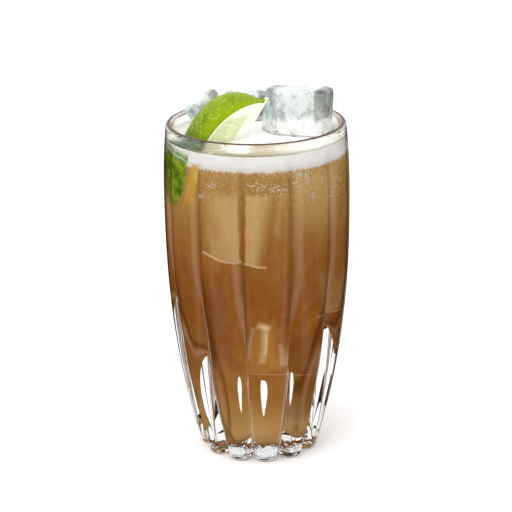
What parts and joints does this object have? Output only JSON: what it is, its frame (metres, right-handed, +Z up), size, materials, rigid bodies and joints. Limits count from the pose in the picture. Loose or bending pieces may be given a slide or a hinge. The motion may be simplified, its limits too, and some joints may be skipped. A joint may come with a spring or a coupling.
{
  "type": "mule cocktail in a fluted highball glass",
  "caption": "Tall fluted glass of cloudy amber mule cocktail with white foam, ice cubes and a lime wedge.",
  "frame": {"origin": "middle of the foot, on the surface the glass stands on", "axes": "+Z up along the axis of the glass; -Y towards the front, where the lime leans at the left and the large ice cube stands at the right"},
  "size_m": [0.08, 0.08, 0.1621],
  "materials": {
    "clear_glass": "polished pressed glass",
    "amber_drink": "cloudy amber brown liquid",
    "white_foam": "fine white foam",
    "lime": "dimpled green rind, white pith and pale green pulp",
    "clear_ice": "wet clear ice with white cracks"
  },
  "bodies": {
    "root": {"glass": "clear_glass", "drink": "amber_drink", "foam": "white_foam", "lime_wedge": "lime", "ice_cube_right": "clear_ice", "ice_cube_back": "clear_ice", "ice_cube_left": "clear_ice"}
  },
  "joints": []
}
